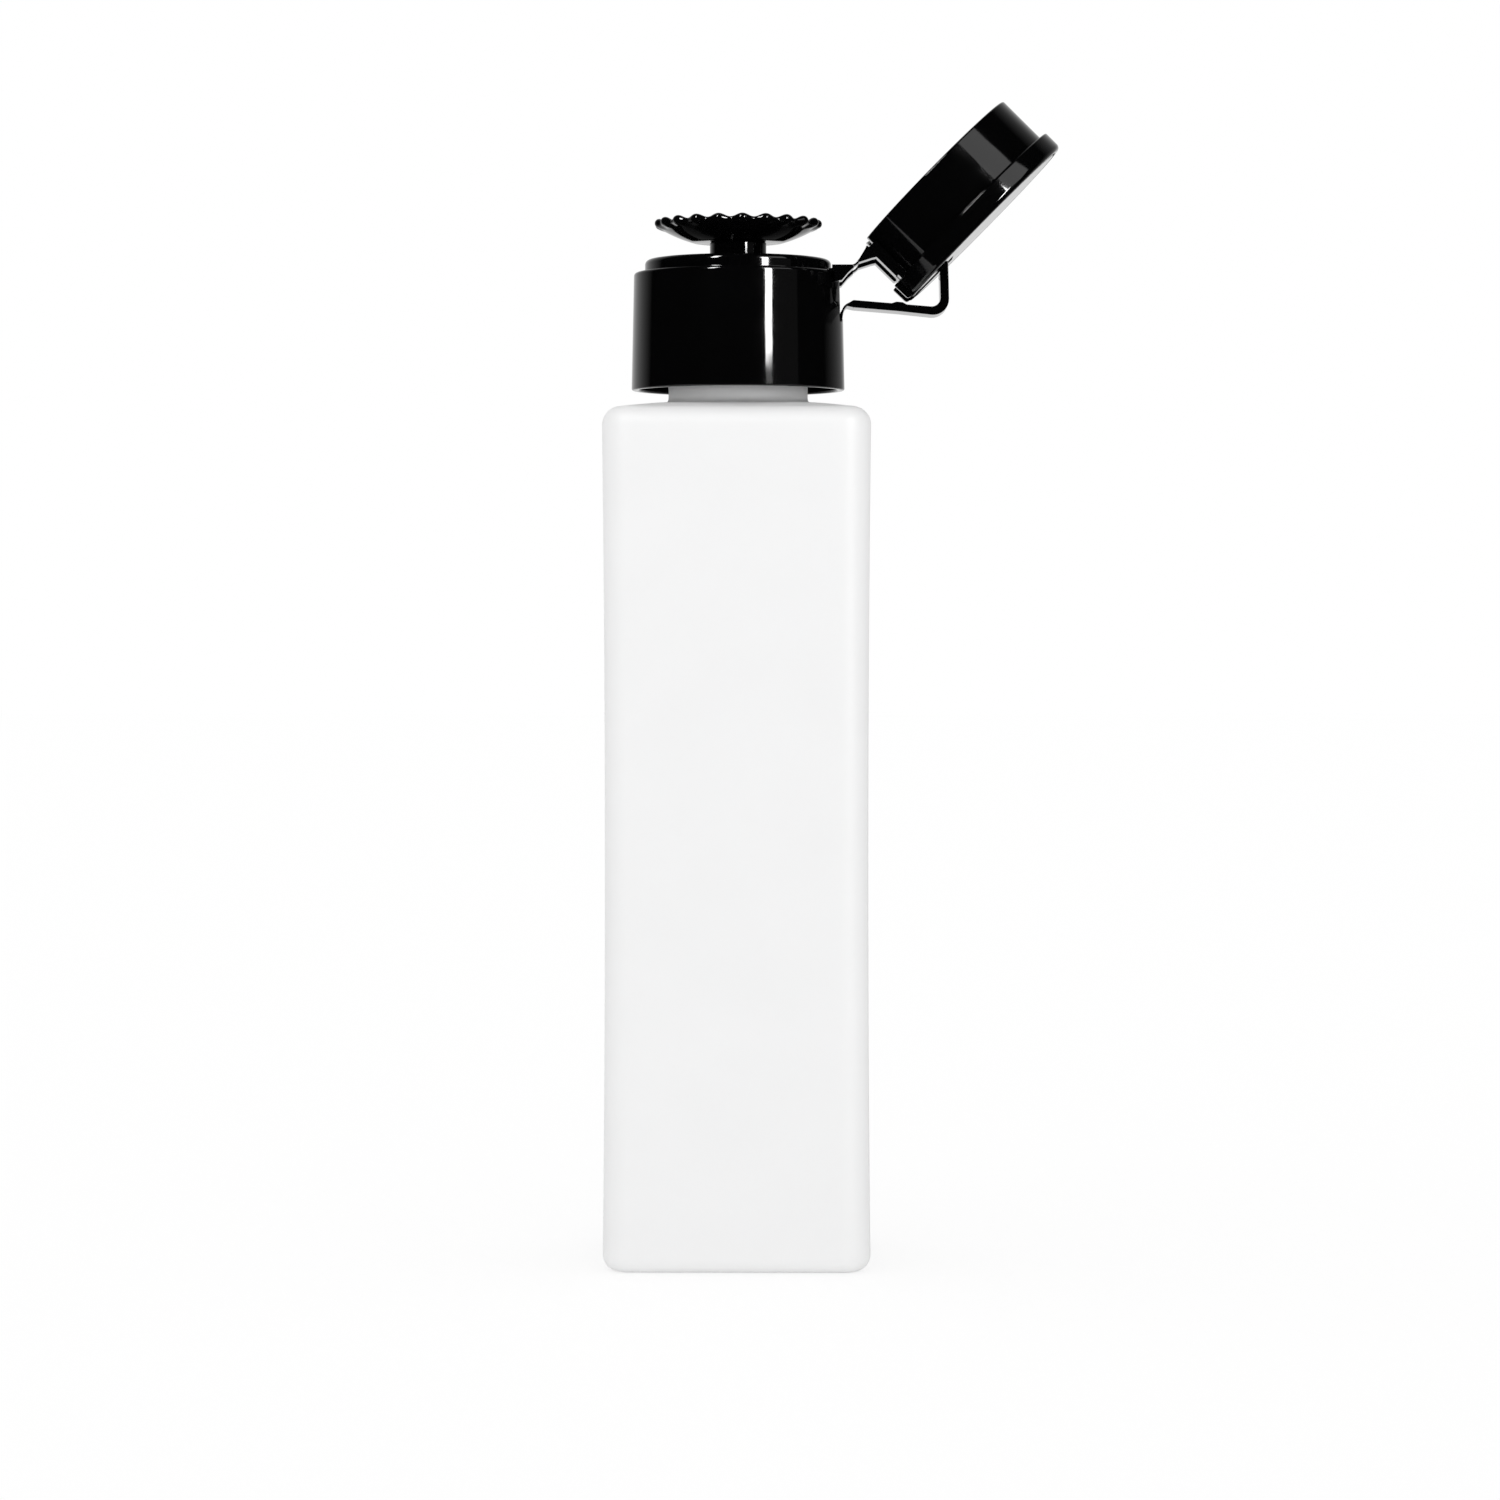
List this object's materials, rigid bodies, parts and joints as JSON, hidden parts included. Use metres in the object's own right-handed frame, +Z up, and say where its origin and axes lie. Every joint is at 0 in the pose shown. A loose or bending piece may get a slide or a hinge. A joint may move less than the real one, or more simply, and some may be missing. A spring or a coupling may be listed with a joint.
{
  "type": "pump bottle",
  "caption": "Square white bottle with a black screw closure, a scalloped push-down pump dish, a hinged flip lid that stands open and an L-shaped lock clip.",
  "frame": {"origin": "middle of the base, on the axis of the bottle and its neck", "axes": "+Z up along the bottle's axis, +X towards the lid's hinge, -Y towards the viewer of the picture"},
  "size_m": [0.0724, 0.042, 0.1846],
  "materials": {
    "bottle_hdpe": "satin",
    "black_pp": "gloss",
    "natural_pp": "satin",
    "foam_pe": "matte",
    "seal_pe": "satin",
    "tube_pe": "satin",
    "spring_steel": "bright drawn wire",
    "ball_steel": "polished"
  },
  "bodies": {
    "bottle": {"bottle": "bottle_hdpe"},
    "pump": {"neck_gasket": "foam_pe", "pump_housing": "natural_pp", "stem_guide": "natural_pp", "dip_tube": "tube_pe", "ball_cage": "natural_pp", "return_spring": "spring_steel"},
    "closure": {"closure": "black_pp"},
    "lid": {"lid": "black_pp"},
    "clip": {"lock_clip": "black_pp"},
    "dish": {"dish": "black_pp", "piston_stem": "natural_pp", "piston_seal": "seal_pe", "outlet_insert": "black_pp"},
    "inlet_ball": {"inlet_ball": "ball_steel"},
    "outlet_ball": {"outlet_ball": "ball_steel"}
  },
  "joints": [
    {"name": "closure_lift", "type": "slide", "parent": "bottle", "child": "pump", "axis": [0, 0, 1], "range_m": [0, 0.0048]},
    {"name": "closure_turn", "type": "hinge", "parent": "pump", "child": "closure", "pos_m": [0, 0, 0.1546], "axis": [0, 0, 1], "range_deg": [0, 540]},
    {"name": "lid_hinge", "type": "hinge", "parent": "closure", "child": "lid", "pos_m": [0.01865, 0, 0.1589], "axis": [0, 1, 0], "range_deg": [-134.7, 0]},
    {"name": "clip_hinge", "type": "hinge", "parent": "closure", "child": "clip", "pos_m": [0.017, 0, 0.152], "axis": [0, 1, 0], "range_deg": [-94.8, 0]},
    {"name": "pump_press", "type": "slide", "parent": "pump", "child": "dish", "axis": [0, 0, -1], "range_m": [0, 0.0042], "stiffness_N_per_m": 900, "springref_m": -0.004, "deforming": ["return_spring"]},
    {"name": "inlet_valve", "type": "slide", "parent": "pump", "child": "inlet_ball", "axis": [0, 0, 1], "range_m": [0, 0.0008]},
    {"name": "outlet_valve", "type": "slide", "parent": "dish", "child": "outlet_ball", "axis": [0, 0, 1], "range_m": [0, 0.0007]}
  ],
  "couplings": [
    {"joint": "closure_lift", "follows": "closure_turn", "m_per_rad": 0.00050532},
    {"joint": "clip_hinge", "follows": "lid_hinge", "ratio": 0.444}
  ]
}
